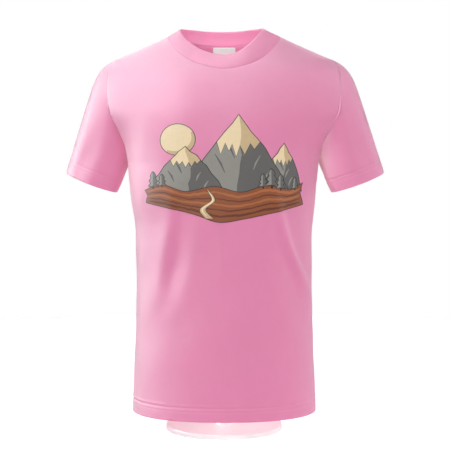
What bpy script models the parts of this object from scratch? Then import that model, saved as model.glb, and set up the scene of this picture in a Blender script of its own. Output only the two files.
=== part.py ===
"""A child's short-sleeved T-shirt in its worn shape, on a plain display stand.

Metres, +Z up, the chest towards -Y.  The origin is on the floor under the middle of the shirt.
Run with: blender --background --python part.py
"""

import math

import bpy
from mathutils import Vector

# Driving dimensions.  Heights called "above the hem" start at the shirt's lower edge.
HEM_FROM_FLOOR = 0.030
ARMPIT = 0.361                      # above the hem
SHOULDER_TIP = (0.158, 0.508)       # half width and height of the shoulder seam's outer end
NECK_POINT = (0.082, 0.541)         # half width and height of the shoulder seam's inner end
SHOULDER_HOLLOW = 1.08              # exponent of the seam's line between them, 1 is straight
HEM_BAND = 0.020                    # depth of the turned-up hems
CLOTH = 0.0010                      # one layer of jersey, as modelled
DOUBLED = 0.0020                    # two layers, in the hems and the folded neck rib
SEAM_GAP = 0.0006                   # left open between two pieces that are sewn together
ROUNDNESS = 2.2                     # exponent of the body's oval sections, 2 is an ellipse

# The torso, as (above the hem, half width) and (above the hem, depth from the side seam).
HALF_WIDTHS = (
    (0.0, 0.1340), (0.080, 0.1308), (0.140, 0.1281), (0.250, 0.1274), (0.315, 0.1327),
    (ARMPIT, 0.1371),
)
FRONT_DEPTHS = (
    (0.0, 0.104), (0.200, 0.100), (0.340, 0.106), (0.420, 0.101), (0.470, 0.089),
    (0.492, 0.078), (0.509, 0.061), (0.525, 0.046), (0.541, 0.030),
)
BACK_DEPTHS = (
    (0.0, 0.100), (0.180, 0.091), (0.300, 0.098), (0.400, 0.106), (0.470, 0.098),
    (0.510, 0.081), (0.533, 0.062), (0.541, 0.050),
)

# The armhole, as (above the hem, half width), and how far it opens each way from the side seam.
ARMHOLE_EDGE = (
    (ARMPIT, 0.1371), (0.382, 0.1400), (0.409, 0.1512), (0.437, 0.1628), (0.465, 0.1655),
    (0.490, 0.1642), (SHOULDER_TIP[1], SHOULDER_TIP[0]),
)
ARMHOLE_DEPTH = 0.047

# The sleeve: a straight tube to an oval hem, whose head rounds over to meet the shoulder.
SLEEVE_CROWN = (0.1790, 0.508)      # where its straight outer line would reach shoulder height
SLEEVE_ROUNDING = 14.0              # how soon the head reaches that line
SLEEVE_HEM_MIDDLE = (0.1928, 0.334) # half width and height above the hem
SLEEVE_HEM_TILT = math.radians(21)  # its outer end stands above its inner end
SLEEVE_HEM_RADII = (0.0405, 0.052)  # across the arm, and front to back
SLEEVE_HEM_DROP = 0.003             # its front edge hangs below its middle

# The neck: seam and free edge of the rib, as (half width, front depth, back depth).
NECK_SEAM = (NECK_POINT[0], 0.078, 0.062)
NECK_EDGE = (0.0622, 0.071, 0.052)
NECK_EDGE_HEIGHTS = (0.5127, 0.5545, 0.5545)    # front, sides and back, above the hem
NECK_EDGE_DIP = 1.35                # shape of the dip in front
RIB_BULGE = 0.0012
NECK_TAPE_WIDTH = 0.010
LABEL_WIDTH = 0.0335
LABEL_HEIGHTS = (0.488, 0.530)
LABEL_THICKNESS = 0.0006
LINING_GAP = 0.0005                 # between the back panel, the tape and the label

# The stand.
BASE_RADIUS = 0.085
BASE_THICKNESS = 0.008
BASE_BEVEL = 0.0015
ROD_RADIUS = 0.006
BAR_RADIUS = 0.006
BAR_END = 0.146                     # half width of the shoulder bar
BAR_SHOULDER = 0.090                # half width from which it lies under the shoulder seam
BAR_MIDDLE = 0.452                  # height of its middle, above the hem
BAR_CLEARANCE = 0.0008              # between the bar and the cloth that it carries

# How finely the solids are faceted.
BODY_ROWS = 10                      # hem band to armpit
ARMHOLE_ROWS = 10                   # armpit to shoulder tip
SHOULDER_COLUMNS = 4
NECK_COLUMNS = 8                    # a quarter of the way round the neck
COLUMNS = SHOULDER_COLUMNS + NECK_COLUMNS
SLEEVE_ROWS = 7
BAR_POINTS = 41
ROUND_SIDES = 64

FRONT, BACK = -1, 1
LEFT, RIGHT = 1, -1                 # the wearer's, who faces -Y


def mix(a, b, share):
    return a + (b - a) * share


def through(points, at):
    """Height of a smooth curve through (position, value) points that never overshoots them."""
    last = len(points) - 2
    index = next((i for i in range(last) if at <= points[i + 1][0]), last)
    slopes = [(q[1] - p[1]) / (q[0] - p[0]) for p, q in zip(points, points[1:])]

    def tangent(i):
        before, after = slopes[max(i - 1, 0)], slopes[min(i, last)]
        return 2 * before * after / (before + after) if before * after > 0 else 0.0

    (x0, y0), (x1, y1) = points[index], points[index + 1]
    span = x1 - x0
    t = min(max((at - x0) / span, 0.0), 1.0)
    ease = t * t * (3 - 2 * t)
    leave = tangent(index) * span * t * (1 - t) ** 2
    arrive = tangent(index + 1) * span * t * t * (1 - t)
    return mix(y0, y1, ease) + leave - arrive


# The torso.  Heights are above the hem.


def depth_at(height, facing):
    return through(FRONT_DEPTHS if facing == FRONT else BACK_DEPTHS, height)


def armhole_opening(height):
    """How far in front of and behind the side seam the armhole lies."""
    middle = mix(ARMPIT, SHOULDER_TIP[1], 0.5)
    level = (height - middle) / (SHOULDER_TIP[1] - middle)
    return ARMHOLE_DEPTH * math.sqrt(max(1 - level * level, 0.0))


def section_half_width(height, facing):
    """Half width of the whole oval section, which an armhole cuts short."""
    if height <= ARMPIT:
        return through(HALF_WIDTHS, height)
    if height >= SHOULDER_TIP[1]:
        up_the_shoulder = (height - SHOULDER_TIP[1]) / (NECK_POINT[1] - SHOULDER_TIP[1])
        return mix(SHOULDER_TIP[0], NECK_POINT[0], up_the_shoulder ** (1 / SHOULDER_HOLLOW))
    cut_off = (armhole_opening(height) / depth_at(height, facing)) ** ROUNDNESS
    return through(ARMHOLE_EDGE, height) / (1 - cut_off) ** (1 / ROUNDNESS)


def shoulder_seam_height(x):
    inwards = (SHOULDER_TIP[0] - x) / (SHOULDER_TIP[0] - NECK_POINT[0])
    return mix(SHOULDER_TIP[1], NECK_POINT[1], inwards**SHOULDER_HOLLOW)


def torso_point(x, height, facing):
    """Point on the outside of the cloth, kept clear of the seam at y = 0."""
    across = min(abs(x) / section_half_width(height, facing), 1.0)
    depth = depth_at(height, facing) * (1 - across**ROUNDNESS) ** (1 / ROUNDNESS)
    return Vector((x, facing * max(depth, SEAM_GAP / 2), HEM_FROM_FLOOR + height))


def height_on_torso(x, y, facing):
    """Height at which the shoulders pass over a point of the plan."""
    low, high = 0.45, NECK_POINT[1]
    for _ in range(40):
        height = mix(low, high, 0.5)
        across = abs(x) / section_half_width(height, facing)
        along = abs(y) / depth_at(height, facing)
        if across**ROUNDNESS + along**ROUNDNESS < 1:
            low = height
        else:
            high = height
    return low


def neck_seam_point(angle):
    """Point of the neck seam, from the middle of the front round by +x."""
    facing = FRONT if math.cos(angle) > 0 else BACK
    half_width, front, back = NECK_SEAM
    x = half_width * math.sin(angle)
    y = (front if facing == FRONT else back) * math.cos(angle)
    return torso_point(x, height_on_torso(x, y, facing), facing)


def panel_top(column, facing):
    """(x, height) of a panel's upper edge, from its middle out to the shoulder tip."""
    if column > NECK_COLUMNS:
        share = (column - NECK_COLUMNS) / SHOULDER_COLUMNS
        x = mix(NECK_POINT[0], SHOULDER_TIP[0], share)
        return x, shoulder_seam_height(x)
    angle = math.pi / 2 * column / NECK_COLUMNS
    point = neck_seam_point(angle if facing == FRONT else math.pi - angle)
    return point.x, point.z - HEM_FROM_FLOOR


def armhole_heights():
    """Heights of the armhole's points, close together where it turns."""
    turns = [math.pi * row / ARMHOLE_ROWS for row in range(ARMHOLE_ROWS + 1)]
    return [mix(ARMPIT, SHOULDER_TIP[1], (1 - math.cos(turn)) / 2) for turn in turns]


def panel_rows(facing):
    """Rows of points up a panel, which run anticlockwise as seen from above."""
    tops = [panel_top(column, facing) for column in range(COLUMNS + 1)]
    side_heights = [mix(HEM_BAND, ARMPIT, row / BODY_ROWS) for row in range(BODY_ROWS)]
    rows = []
    for edge in side_heights + armhole_heights():
        side = through(HALF_WIDTHS if edge <= ARMPIT else ARMHOLE_EDGE, edge)
        towards_top = (edge / SHOULDER_TIP[1]) ** 3
        half_row = []
        for column, (top_x, top_height) in enumerate(tops):
            level_share = math.sin(math.pi / 2 * column / COLUMNS)
            x = side * mix(level_share, top_x / SHOULDER_TIP[0], towards_top)
            half_row.append((x, edge + (top_height - SHOULDER_TIP[1]) * towards_top))
        row = [(-x, height) for x, height in half_row[:0:-1]] + half_row
        points = [torso_point(x, height, facing) for x, height in row]
        rows.append(points if facing == FRONT else points[::-1])
    return rows


def hem_rows():
    """The turned-up hem, all round the body, in line with the panels' columns."""
    rows = []
    for height in (0.0, HEM_BAND / 2, HEM_BAND - SEAM_GAP):
        row = []
        for step in range(4 * COLUMNS):
            angle = math.pi / 2 * step / COLUMNS
            facing = FRONT if math.cos(angle) > 0 else BACK
            x = section_half_width(height, facing) * math.sin(angle)
            row.append(torso_point(x, height, facing))
        rows.append(row)
    return rows


# The sleeves.  Angles run from the shoulder tip by the front to the armpit, and back up behind.


def oval_point(top, bottom, opening, angle, front_drop=0.0):
    """Point of an oval between (half width, height) ends, which opens front and back."""
    x = mix(bottom[0], top[0], (1 + math.cos(angle)) / 2)
    height = mix(bottom[1], top[1], (1 + math.cos(angle)) / 2) - front_drop * math.sin(angle)
    return Vector((x, -opening * math.sin(angle), HEM_FROM_FLOOR + height))


def sleeve_point(angle, along):
    """Point of the +x sleeve, from the armhole (0) to the end of its hem (1)."""
    armpit = (ARMHOLE_EDGE[0][1], ARMPIT)
    reach_x = SLEEVE_HEM_RADII[0] * math.cos(SLEEVE_HEM_TILT)
    reach_z = SLEEVE_HEM_RADII[0] * math.sin(SLEEVE_HEM_TILT)
    outer = (SLEEVE_HEM_MIDDLE[0] + reach_x, SLEEVE_HEM_MIDDLE[1] + reach_z)
    inner = (SLEEVE_HEM_MIDDLE[0] - reach_x, SLEEVE_HEM_MIDDLE[1] - reach_z)
    root = oval_point(SLEEVE_CROWN, armpit, ARMHOLE_DEPTH, angle)
    hem = oval_point(outer, inner, SLEEVE_HEM_RADII[1], angle, SLEEVE_HEM_DROP)
    seam = oval_point(SHOULDER_TIP, armpit, ARMHOLE_DEPTH, angle)
    seam.x = through(ARMHOLE_EDGE, seam.z - HEM_FROM_FLOOR)
    return root.lerp(hem, along) + (seam - root) * math.exp(-SLEEVE_ROUNDING * along)


def sleeve_rows(side, shares):
    """Rows round a sleeve, at shares of the way from the armhole to the hem band (1) or its end (2)."""
    turns = [math.pi * step / ARMHOLE_ROWS for step in range(2 * ARMHOLE_ROWS)]
    rows = []
    for share in shares:
        row = []
        for angle in turns:
            length = (sleeve_point(angle, 1.0) - sleeve_point(angle, 0.0)).length
            band_start = 1 - HEM_BAND / length
            along = share * band_start if share <= 1 else mix(band_start, 1.0, share - 1)
            point = sleeve_point(angle, along)
            row.append(Vector((side * point.x, point.y, point.z)))
        rows.append(row if side == LEFT else row[::-1])
    return rows


# The neck.


def neck_edge_point(angle):
    """Point of the rib's folded free edge."""
    half_width, front, back = NECK_EDGE
    front_height, side_height, back_height = NECK_EDGE_HEIGHTS
    in_front = math.cos(angle) > 0
    rise = 1 - abs(math.cos(angle)) ** NECK_EDGE_DIP
    height = mix(front_height if in_front else back_height, side_height, rise)
    y = -(front if in_front else back) * math.cos(angle)
    return Vector((half_width * math.sin(angle), y, HEM_FROM_FLOOR + height))


def collar_rows():
    rows = []
    for share in (0.0, 0.5, 1.0):
        row = []
        for step in range(4 * NECK_COLUMNS):
            angle = math.pi / 2 * step / NECK_COLUMNS
            outwards = Vector((math.sin(angle), -math.cos(angle), 0.0))
            point = neck_seam_point(angle).lerp(neck_edge_point(angle), share)
            row.append(point + outwards * RIB_BULGE * math.sin(math.pi * share))
        rows.append(row)
    return rows


def down_column(points, distance):
    """Point at a distance down a column of points, which is given from its top."""
    for upper, lower in zip(points, points[1:]):
        step = (lower - upper).length
        if distance <= step:
            return upper.lerp(lower, distance / step)
        distance -= step
    return points[-1]


def neck_tape_rows():
    """The strip that covers the seam at the back of the neck, on the back panel's upper edge."""
    columns = list(zip(*panel_rows(BACK)[::-1]))
    ends = SHOULDER_COLUMNS + 1
    distances = (NECK_TAPE_WIDTH, NECK_TAPE_WIDTH / 2, 0.0)
    return [[down_column(points, down) for points in columns[ends:-ends]] for down in distances]


def label_rows():
    corners = [mix(LABEL_WIDTH / 2, -LABEL_WIDTH / 2, step / 4) for step in range(5)]
    heights = [mix(*LABEL_HEIGHTS, step / 4) for step in range(5)]
    return [[torso_point(x, height, BACK) for x in corners] for height in heights]


# Building.


def material(name, colour, roughness, metallic=0.0):
    made = bpy.data.materials.new(name)
    made.use_nodes = True
    shader = made.node_tree.nodes["Principled BSDF"]
    shader.inputs["Base Color"].default_value = (*colour, 1.0)
    shader.inputs["Roughness"].default_value = roughness
    shader.inputs["Metallic"].default_value = metallic
    return made


def add_mesh(name, vertices, faces, finish):
    mesh = bpy.data.meshes.new(name)
    mesh.from_pydata(vertices, [], faces)
    mesh.materials.append(finish)
    mesh.shade_smooth()
    made = bpy.data.objects.new(name, mesh)
    bpy.context.collection.objects.link(made)
    return made


def add_cloth(name, rows, thickness, finish, ring=False, inset=0.0, opened_seam=False):
    """A sewn piece from rows of points on its outside, with its thickness, and any inset, behind."""
    if opened_seam:
        rows[0] = [a + (b - a).normalized() * SEAM_GAP for a, b in zip(rows[0], rows[1])]
    width = len(rows[0])
    faces = []
    for row in range(len(rows) - 1):
        for column in range(width if ring else width - 1):
            beside = (column + 1) % width
            low, high = row * width, (row + 1) * width
            faces.append((low + column, low + beside, high + beside, high + column))
    made = add_mesh(name, [point for row in rows for point in row], faces, finish)
    solidify = made.modifiers.new("Thickness", "SOLIDIFY")
    solidify.thickness = thickness
    solidify.offset = -1 - 2 * inset / thickness
    return made


def shoulder_bar_height(x):
    """Centre height of the bar: under the shoulder seams, and dipped below the neck between them."""
    slope = (NECK_POINT[1] - SHOULDER_TIP[1]) / (SHOULDER_TIP[0] - NECK_POINT[0])
    seam = shoulder_seam_height(max(abs(x), BAR_SHOULDER))
    below = (CLOTH + BAR_CLEARANCE + BAR_RADIUS) * math.hypot(1, slope)
    up = min(abs(x) / BAR_SHOULDER, 1.0)
    blend = up * up * (3 - 2 * up)
    return HEM_FROM_FLOOR + mix(BAR_MIDDLE, seam - below, blend)


def add_shoulder_bar(finish):
    curve = bpy.data.curves.new("stand_shoulder_bar", "CURVE")
    curve.dimensions = "3D"
    curve.bevel_depth = BAR_RADIUS
    curve.bevel_resolution = 3
    curve.use_fill_caps = True
    curve.materials.append(finish)
    spline = curve.splines.new("POLY")
    spline.points.add(BAR_POINTS - 1)
    for step, point in enumerate(spline.points):
        x = mix(-BAR_END, BAR_END, step / (BAR_POINTS - 1))
        point.co = (x, 0.0, shoulder_bar_height(x), 1.0)
    made = bpy.data.objects.new("stand_shoulder_bar", curve)
    bpy.context.collection.objects.link(made)


def add_round(name, radius, bottom, top, bevel, finish):
    bpy.ops.mesh.primitive_cylinder_add(
        vertices=ROUND_SIDES, radius=radius, depth=top - bottom, location=(0, 0, mix(bottom, top, 0.5))
    )
    made = bpy.context.object
    made.name = name
    made.data.materials.append(finish)
    made.data.shade_smooth()
    made.data.set_sharp_from_angle(angle=math.radians(40))
    if bevel:
        rounded = made.modifiers.new("Edge", "BEVEL")
        rounded.width = bevel
        rounded.segments = 2


for left_over in list(bpy.data.objects):
    bpy.data.objects.remove(left_over)

jersey = material("pink jersey", (0.81, 0.33, 0.51), 0.9)
rib = material("pink rib knit", (0.78, 0.31, 0.49), 0.9)
woven_label = material("woven label", (0.68, 0.68, 0.68), 0.7)
white_steel = material("white painted steel", (0.86, 0.86, 0.86), 0.45)

add_cloth("front_panel", panel_rows(FRONT), CLOTH, jersey)
add_cloth("back_panel", panel_rows(BACK), CLOTH, jersey)
add_cloth("hem", hem_rows(), DOUBLED, jersey, ring=True)
for side, side_name in ((LEFT, "left"), (RIGHT, "right")):
    to_the_band = [(row / SLEEVE_ROWS) ** 1.8 for row in range(SLEEVE_ROWS + 1)]
    tube = sleeve_rows(side, to_the_band)
    add_cloth(f"sleeve_{side_name}", tube, CLOTH, jersey, ring=True, opened_seam=True)
    band = sleeve_rows(side, (1.0, 1.5, 2.0))
    add_cloth(f"sleeve_hem_{side_name}", band, DOUBLED, jersey, ring=True, opened_seam=True)
add_cloth("collar", collar_rows(), DOUBLED, rib, ring=True, opened_seam=True)
add_cloth("neck_tape", neck_tape_rows(), CLOTH, jersey, inset=CLOTH + LINING_GAP)
label_inset = 2 * (CLOTH + LINING_GAP) + LINING_GAP
add_cloth("neck_label", label_rows(), LABEL_THICKNESS, woven_label, inset=label_inset)

add_round("stand_base", BASE_RADIUS, 0.0, BASE_THICKNESS, BASE_BEVEL, white_steel)
rod_top = HEM_FROM_FLOOR + BAR_MIDDLE - BAR_RADIUS - SEAM_GAP
add_round("stand_rod", ROD_RADIUS, BASE_THICKNESS + SEAM_GAP, rod_top, 0.0, white_steel)
add_shoulder_bar(white_steel)
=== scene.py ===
"""The looks of a child's T-shirt on a plain display stand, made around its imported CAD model."""

import math

import bmesh
import bpy
import numpy as np
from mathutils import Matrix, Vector


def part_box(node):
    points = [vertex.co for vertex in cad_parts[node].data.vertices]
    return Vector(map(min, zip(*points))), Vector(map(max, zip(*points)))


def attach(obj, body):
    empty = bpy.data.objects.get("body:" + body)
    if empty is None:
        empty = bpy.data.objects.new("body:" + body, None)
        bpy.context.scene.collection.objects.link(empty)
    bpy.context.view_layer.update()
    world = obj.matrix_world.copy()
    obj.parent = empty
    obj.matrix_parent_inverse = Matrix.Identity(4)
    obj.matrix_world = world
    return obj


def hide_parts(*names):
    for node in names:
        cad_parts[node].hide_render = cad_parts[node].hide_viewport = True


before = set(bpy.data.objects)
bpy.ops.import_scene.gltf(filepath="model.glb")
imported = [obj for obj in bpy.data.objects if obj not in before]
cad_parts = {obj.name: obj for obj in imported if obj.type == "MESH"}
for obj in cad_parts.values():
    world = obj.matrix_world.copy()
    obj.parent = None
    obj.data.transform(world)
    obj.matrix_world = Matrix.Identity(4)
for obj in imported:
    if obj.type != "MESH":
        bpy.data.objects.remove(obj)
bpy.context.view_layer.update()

# The display stand: a turned steel plate, a rod screwed into its boss, and a bent bar welded across the
# rod that carries the shoulders. All of it is powder-coated white, which leaves a faint orange peel.
HEM_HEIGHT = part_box("hem")[0][2]
ROD_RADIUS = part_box("stand_rod")[1][0]
ROD_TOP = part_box("stand_rod")[1][2]
PLATE_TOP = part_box("stand_base")[1][2]
BAR_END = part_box("stand_shoulder_bar")[1][0]
BAR_RADIUS = 0.006
BAR_SHOULDER = 0.090
BAR_MIDDLE = 0.452
BAR_BELOW_CLOTH = 0.0018 + BAR_RADIUS
SHOULDER_TIP = (0.158, 0.508)
NECK_POINT = (0.082, 0.541)
SHOULDER_HOLLOW = 1.08
BOSS_RADIUS = 0.0125
BOSS_HEIGHT = 0.012
SADDLE_RADIUS = 0.0082
SADDLE_HEIGHT = 0.020


def shoulder_seam_height(x):
    inwards = np.clip((SHOULDER_TIP[0] - x) / (SHOULDER_TIP[0] - NECK_POINT[0]), 0.0, 1.0)
    return SHOULDER_TIP[1] + (NECK_POINT[1] - SHOULDER_TIP[1]) * inwards**SHOULDER_HOLLOW


def grid_faces(rows, columns, ring=False):
    """Quads of a grid of points, whose rows may close into rings."""
    faces = []
    for row in range(rows - 1):
        for column in range(columns if ring else columns - 1):
            beside = (column + 1) % columns
            low, high = row * columns, (row + 1) * columns
            faces.append((low + column, low + beside, high + beside, high + column))
    return faces


def add_piece(name, points, faces, finish):
    mesh = bpy.data.meshes.new(name)
    mesh.from_pydata(np.asarray(points).reshape(-1, 3).tolist(), [], faces)
    mesh.materials.append(finish)
    mesh.shade_smooth()
    piece = bpy.data.objects.new(name, mesh)
    bpy.context.collection.objects.link(piece)
    return piece


def turned(name, profile, finish, sides=64):
    """A ring-shaped turned part from the closed loop of (radius, height) of its section."""
    points = []
    for radius, height in profile:
        for side in range(sides):
            angle = 2 * math.pi * side / sides
            points.append((radius * math.cos(angle), radius * math.sin(angle), height))
    faces = grid_faces(len(profile), sides, ring=True)
    last = (len(profile) - 1) * sides
    for side in range(sides):
        beside = (side + 1) % sides
        faces.append((last + side, last + beside, beside, side))
    return add_piece(name, points, faces, finish)


def add_node(tree, kind, inputs=(), **settings):
    """A new node with its settings, and its inputs given as values or as other nodes' outputs."""
    node = tree.nodes.new(kind)
    for name, value in settings.items():
        setattr(node, name, value)
    for name, value in dict(inputs).items():
        if isinstance(value, bpy.types.NodeSocket):
            tree.links.new(value, node.inputs[name])
        else:
            node.inputs[name].default_value = value
    return node


def new_finish(name, shader_inputs):
    """A material, with its node tree and its shader."""
    made = bpy.data.materials.new(name)
    made.use_nodes = True
    shader = made.node_tree.nodes["Principled BSDF"]
    for socket, value in shader_inputs.items():
        shader.inputs[socket].default_value = value
    return made, made.node_tree, shader


def two_tones(tree, share, dark, light):
    """The colour between two, by a share from 0 to 1."""
    ramp = add_node(tree, "ShaderNodeValToRGB", {"Fac": share})
    ramp.color_ramp.elements[0].color = (*dark, 1.0)
    ramp.color_ramp.elements[1].color = (*light, 1.0)
    return ramp.outputs["Color"]


def add_bump(tree, shader, height, strength, distance):
    bump = add_node(tree, "ShaderNodeBump", {"Height": height, "Strength": strength, "Distance": distance})
    tree.links.new(bump.outputs["Normal"], shader.inputs["Normal"])


powder_coat, tree, coat = new_finish("white powder coat", {"Roughness": 0.42})
place = add_node(tree, "ShaderNodeTexCoord").outputs["Object"]
peel = add_node(tree, "ShaderNodeTexNoise", {"Vector": place, "Scale": 900.0, "Detail": 3.0})
shade = add_node(tree, "ShaderNodeTexNoise", {"Vector": place, "Scale": 14.0})
coat_colour = two_tones(tree, shade.outputs["Fac"], (0.80, 0.80, 0.80), (0.88, 0.88, 0.875))
tree.links.new(coat_colour, coat.inputs["Base Color"])
add_bump(tree, coat, peel.outputs["Fac"], 0.25, 0.0003)

for node in ("stand_base", "stand_rod"):
    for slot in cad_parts[node].material_slots:
        slot.material = powder_coat

BAR_STEPS = 81                      # from its rounded end to its middle
bar_cap = np.linspace(0, math.pi / 2, 9)
bar_x = np.concatenate((-BAR_END + BAR_RADIUS * (1 - np.cos(bar_cap)),
                        np.linspace(-BAR_END + BAR_RADIUS, 0, BAR_STEPS + 1)[1:]))
bar_swell = np.concatenate((np.sin(bar_cap), np.ones(BAR_STEPS)))
bar_swell[0] = 0.02
bar_x = np.concatenate((bar_x, -bar_x[-2::-1]))
bar_swell = np.concatenate((bar_swell, bar_swell[-2::-1]))
bar_slope = (NECK_POINT[1] - SHOULDER_TIP[1]) / (SHOULDER_TIP[0] - NECK_POINT[0])
bar_up = np.clip(np.abs(bar_x) / BAR_SHOULDER, 0.0, 1.0)
bar_blend = bar_up * bar_up * (3 - 2 * bar_up)
bar_seam = shoulder_seam_height(np.maximum(np.abs(bar_x), BAR_SHOULDER))
bar_seam = bar_seam - BAR_BELOW_CLOTH * math.hypot(1, bar_slope)
bar_z = HEM_HEIGHT + BAR_MIDDLE + (bar_seam - BAR_MIDDLE) * bar_blend
bar_lean = np.arctan(np.gradient(bar_z, bar_x))
BAR_SIDES = 24
bar_points = []
for x, z, lean, swell in zip(bar_x, bar_z, bar_lean, bar_swell):
    for side in range(BAR_SIDES):
        angle = 2 * math.pi * side / BAR_SIDES
        up = BAR_RADIUS * swell * math.cos(angle)
        forward = -BAR_RADIUS * swell * math.sin(angle)
        bar_points.append((x - up * math.sin(lean), forward, z + up * math.cos(lean)))
bar_faces = grid_faces(len(bar_x), BAR_SIDES, ring=True)
bar_faces.append(tuple(range(BAR_SIDES))[::-1])
bar_faces.append(tuple(range((len(bar_x) - 1) * BAR_SIDES, len(bar_x) * BAR_SIDES)))
stand_bar = add_piece("stand_bar", bar_points, [face[::-1] for face in bar_faces], powder_coat)

boss_edge = 0.0015
stand_boss = turned("stand_boss", (
    (ROD_RADIUS + 0.0001, PLATE_TOP - 0.0005), (BOSS_RADIUS + 0.001, PLATE_TOP - 0.0005),
    (BOSS_RADIUS + 0.001, PLATE_TOP + 0.0002), (BOSS_RADIUS, PLATE_TOP + 0.0012),
    (BOSS_RADIUS, PLATE_TOP + BOSS_HEIGHT - boss_edge),
    (BOSS_RADIUS - boss_edge * 0.3, PLATE_TOP + BOSS_HEIGHT - boss_edge * 0.3),
    (BOSS_RADIUS - boss_edge, PLATE_TOP + BOSS_HEIGHT), (ROD_RADIUS + 0.0001, PLATE_TOP + BOSS_HEIGHT),
), powder_coat)
stand_saddle = turned("stand_saddle", (
    (ROD_RADIUS + 0.0001, ROD_TOP - SADDLE_HEIGHT), (SADDLE_RADIUS - 0.0008, ROD_TOP - SADDLE_HEIGHT),
    (SADDLE_RADIUS, ROD_TOP - SADDLE_HEIGHT + 0.0008), (SADDLE_RADIUS, ROD_TOP + 0.0040),
    (SADDLE_RADIUS - 0.0010, ROD_TOP + 0.0052), (ROD_RADIUS + 0.0001, ROD_TOP + 0.0052),
), powder_coat)
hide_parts("stand_shoulder_bar")
for piece in (stand_bar, stand_boss, stand_saddle):
    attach(piece, "root")

# The body: a front and a back cut from cotton jersey, sewn together at the sides and over the shoulders.
# It hangs from the chest as worn, nearly smooth, with a few soft folds from the underarms to the waist.
ARMPIT = 0.361
ROUNDNESS = 2.2
HALF_WIDTHS = (
    (0.0, 0.1340), (0.080, 0.1308), (0.140, 0.1281), (0.250, 0.1274), (0.315, 0.1327),
    (ARMPIT, 0.1371),
)
FRONT, BACK = -1, 1
LEFT, RIGHT = 1, -1
DEPTHS = {
    FRONT: (
        (0.0, 0.104), (0.200, 0.100), (0.340, 0.106), (0.420, 0.101), (0.470, 0.089),
        (0.492, 0.078), (0.509, 0.061), (0.525, 0.046), (0.541, 0.030),
    ),
    BACK: (
        (0.0, 0.100), (0.180, 0.091), (0.300, 0.098), (0.400, 0.106), (0.470, 0.098),
        (0.510, 0.081), (0.533, 0.062), (0.541, 0.050),
    ),
}
ARMHOLE_EDGE = (
    (ARMPIT, 0.1371), (0.382, 0.1400), (0.409, 0.1512), (0.437, 0.1628), (0.465, 0.1655),
    (0.490, 0.1642), (SHOULDER_TIP[1], SHOULDER_TIP[0]),
)
ARMHOLE_DEPTH = 0.047
NECK_SEAM = {FRONT: 0.078, BACK: 0.062}
NECK_CORNER = 8 / 12                # share of the way from a panel's middle to its side
CLOTH = 0.0008
# The front's first figure is stated too large: it is the length of its curved top edge, over the
# neckline and shoulders, and across the underarms the panel is 0.40 to 0.41.
COLUMNS = 96                        # from a panel's middle to its side
SIDE_SINK = 0.0004
SHOULDER_SINK = 0.0006
NECK_SINK = 0.00015
ARMHOLE_SINK = 0.0003
SEAM_SPREAD = 0.0016
TUCK = 0.0045                       # how deep the cloth sinks in at the front of the underarm
TUCK_TOP = 0.44                     # share of the armhole's height that it reaches
EASE_CREASED = (0.30, 0.0035)       # from this share of its height up, how far the cloth bridges the
EASE_PLAIN = (0.04, 0.0080)         # hollow beside the armhole, with the crease and without it
TUCK_SPREAD = 0.0075
EASE_SPREAD = 0.026
HEM_STITCHES = (0.0125, 0.0185)     # above the edge of a hem
HEM_SINKS = (0.00012, 0.0006)       # how deep each row of stitches pulls in the cloth
HEM_STITCH_SPREAD = 0.0014
HEM_FLARE = 0.0002                  # how far the doubled edge stands out below them
HEM_RIDGE = (0.0218, 0.0004, 0.0018)    # height, rise and spread of the single cloth just above them
RIPPLES = (                         # rise, waves a metre across and up, and start of each faint ripple
    (0.00020, 13.0, 5.0, 0.4), (0.00014, -24.0, 8.5, 1.9), (0.00006, 41.0, 11.0, 4.4),
    (0.00030, 7.0, -12.0, 5.3),
)
RIPPLE_TOP = 0.400
RIPPLE_EDGE = 0.014

# Each fold: (height above the hem, x) down its line, its width towards -x and +x, and its rise.
FOLDS = {
    FRONT: (
        (((0.142, -0.101), (0.160, -0.097), (0.196, -0.090), (0.233, -0.082), (0.276, -0.074),
          (0.345, -0.070)), 0.014, 0.008, 0.0033),
        (((0.142, -0.085), (0.160, -0.080), (0.197, -0.073), (0.234, -0.066), (0.276, -0.060),
          (0.335, -0.053)), 0.008, 0.016, -0.0028),
        (((0.140, -0.060), (0.175, -0.053), (0.245, -0.040), (0.300, -0.032)), 0.011, 0.013, 0.0010),
        (((0.130, 0.1240), (0.165, 0.1200), (0.195, 0.1110), (0.217, 0.1005), (0.246, 0.0885),
          (0.275, 0.0805), (0.300, 0.0750), (0.345, 0.0650)), 0.009, 0.007, 0.0060),
        (((0.200, -0.078), (0.300, -0.073), (0.400, -0.068), (0.500, -0.060), (0.550, -0.055)),
         0.060, 0.040, 0.0075),
        (((0.275, -0.108), (0.360, -0.106), (0.455, -0.100)), 0.022, 0.055, 0.0050),
        (((0.110, 0.112), (0.203, 0.097), (0.262, 0.076), (0.320, 0.062)), 0.011, 0.007, -0.0010),
        (((0.100, 0.090), (0.174, 0.074), (0.240, 0.054), (0.290, 0.044)), 0.012, 0.012, 0.0010),
        (((0.160, -0.003), (0.224, -0.003), (0.273, -0.003), (0.310, -0.003)), 0.006, 0.006, 0.0005),
    ),
    BACK: (
        (((0.070, 0.060), (0.170, 0.066), (0.260, 0.082), (0.350, 0.104)), 0.014, 0.012, 0.0032),
        (((0.070, 0.040), (0.170, 0.048), (0.260, 0.066), (0.340, 0.088)), 0.013, 0.012, -0.0024),
        (((0.060, -0.070), (0.160, -0.074), (0.250, -0.088), (0.350, -0.106)), 0.012, 0.014, 0.0030),
        (((0.080, -0.046), (0.160, -0.052), (0.250, -0.070), (0.340, -0.090)), 0.012, 0.013, -0.0022),
        (((0.140, 0.004), (0.200, 0.002), (0.280, -0.004)), 0.014, 0.012, 0.0014),
    ),
}


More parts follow.
